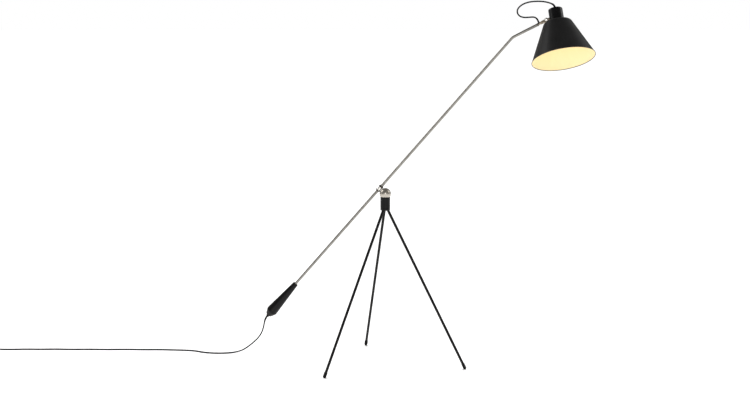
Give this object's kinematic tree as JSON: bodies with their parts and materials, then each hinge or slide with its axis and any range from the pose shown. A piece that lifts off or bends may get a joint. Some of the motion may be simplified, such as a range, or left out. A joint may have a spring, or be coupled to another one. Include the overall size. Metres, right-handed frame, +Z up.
{
  "type": "adjustable arm floor lamp",
  "caption": "Tripod floor lamp with a long counterweighted arm held by a magnet on a steel ball, and a cone shade on a tilting, swivelling knuckle.",
  "frame": {"origin": "on the floor, under the tripod's axis and the ball's centre", "axes": "+Z up; the arm points over +X, 18 degrees towards -Y; the lead runs off along -X"},
  "size_m": [2.4321, 0.6621, 1.3478],
  "materials": {
    "black_head": "satin black",
    "black_legs": "satin black",
    "black_rubber": "matt",
    "zinc_screws": "zinc plated",
    "bearing_bronze": "turned",
    "polished_ball": "polished nickel",
    "dark_discs": "dark turned",
    "bright_magnet": "polished",
    "satin_tube": "satin nickel",
    "black_handle": "satin black",
    "iron_core": "as cast",
    "knuckle_nickel": "satin nickel",
    "black_shade": "spun aluminium, satin black outside, cream enamel inside",
    "brass_fittings": "bright",
    "black_gland": "moulded",
    "holder_plastic": "moulded",
    "lit_bulb": "opal, lit",
    "black_lead": "smooth sheath",
    "black_mouldings": "moulded",
    "plug_brass": "bright"
  },
  "bodies": {
    "tripod": {"head_body": "black_head", "pan_bush": "bearing_bronze", "pan_set_screw": "zinc_screws", "leg_tube_front_left": "black_legs", "leg_insert_front_left": "zinc_screws", "foot_cap_front_left": "black_rubber", "leg_tube_right": "black_legs", "leg_insert_right": "zinc_screws", "foot_cap_right": "black_rubber", "leg_tube_rear": "black_legs", "leg_insert_rear": "zinc_screws", "foot_cap_rear": "black_rubber", "mains_lead": "black_lead", "mains_lead_to_coil": "black_lead", "mains_lead_coil": "black_lead", "mains_lead_to_plug": "black_lead", "coil_tie": "black_lead", "switch_case_lower": "black_mouldings", "switch_case_upper": "black_mouldings", "switch_screws": "zinc_screws", "plug_body": "black_mouldings", "plug_pins": "plug_brass"},
    "ball": {"steel_ball": "polished_ball", "ball_stud": "polished_ball"},
    "magnet": {"pole_disc_lower": "dark_discs", "pole_disc_upper": "dark_discs", "ring_magnet": "bright_magnet", "clamp_sleeve": "bearing_bronze"},
    "arm": {"arm_tube": "satin_tube", "stop_rings": "dark_discs", "handle_shell": "black_handle", "handle_cap": "black_handle", "handle_grub_screw": "zinc_screws", "counterweight_core": "iron_core", "handle_cord_bush": "black_rubber", "arm_inner_lead": "black_lead", "tube_end_bush": "bearing_bronze"},
    "knuckle": {"swivel_stem": "knuckle_nickel", "stem_clip": "knuckle_nickel", "lead_grommet": "black_rubber", "knuckle_fork": "knuckle_nickel", "pivot_screw": "knuckle_nickel", "pivot_washer": "knuckle_nickel", "pivot_nut": "knuckle_nickel", "shade_lead": "black_lead"},
    "shade": {"knuckle_eye": "knuckle_nickel", "lug_nut": "knuckle_nickel", "neck_can": "black_shade", "shade_shell": "black_shade", "shade_ring": "black_shade", "holder_nipple": "brass_fittings", "nipple_nut": "brass_fittings", "neck_cord_gland": "black_gland", "lamp_holder": "holder_plastic", "holder_screw_shell": "brass_fittings", "holder_contact": "brass_fittings", "bulb_cap": "brass_fittings", "bulb_tip": "brass_fittings", "bulb_glass": "lit_bulb"},
    "rocker": {"switch_rocker": "black_mouldings"}
  },
  "joints": [
    {"name": "ball_pan", "type": "hinge", "parent": "tripod", "child": "ball", "pos_m": [0, 0, 0.644], "axis": [0, 0, 1], "range_deg": [-170, 170]},
    {"name": "arm_tilt", "type": "hinge", "parent": "ball", "child": "magnet", "pos_m": [0, 0, 0.644], "axis": [0.309, 0.9511, 0], "range_deg": [-12, 35]},
    {"name": "arm_roll", "type": "hinge", "parent": "magnet", "child": "arm", "pos_m": [-0.0207, 0.00672, 0.66332], "axis": [0.6314, -0.2052, 0.7478], "range_deg": [-75, 75]},
    {"name": "knuckle_swivel", "type": "hinge", "parent": "arm", "child": "knuckle", "pos_m": [0.53435, -0.17362, 1.26416], "axis": [0.8504, -0.2763, 0.4478], "range_deg": [-60, 60]},
    {"name": "shade_tilt", "type": "hinge", "parent": "knuckle", "child": "shade", "pos_m": [0.56411, -0.18329, 1.27983], "axis": [0.4308, 0.8542, -0.2911], "range_deg": [-70, 15], "deforming": ["shade_lead"]},
    {"name": "switch_rock", "type": "hinge", "parent": "tripod", "child": "rocker", "pos_m": [-1.58, 0.216, 0.013], "axis": [0, 1, 0], "range_deg": [0, 13]}
  ]
}
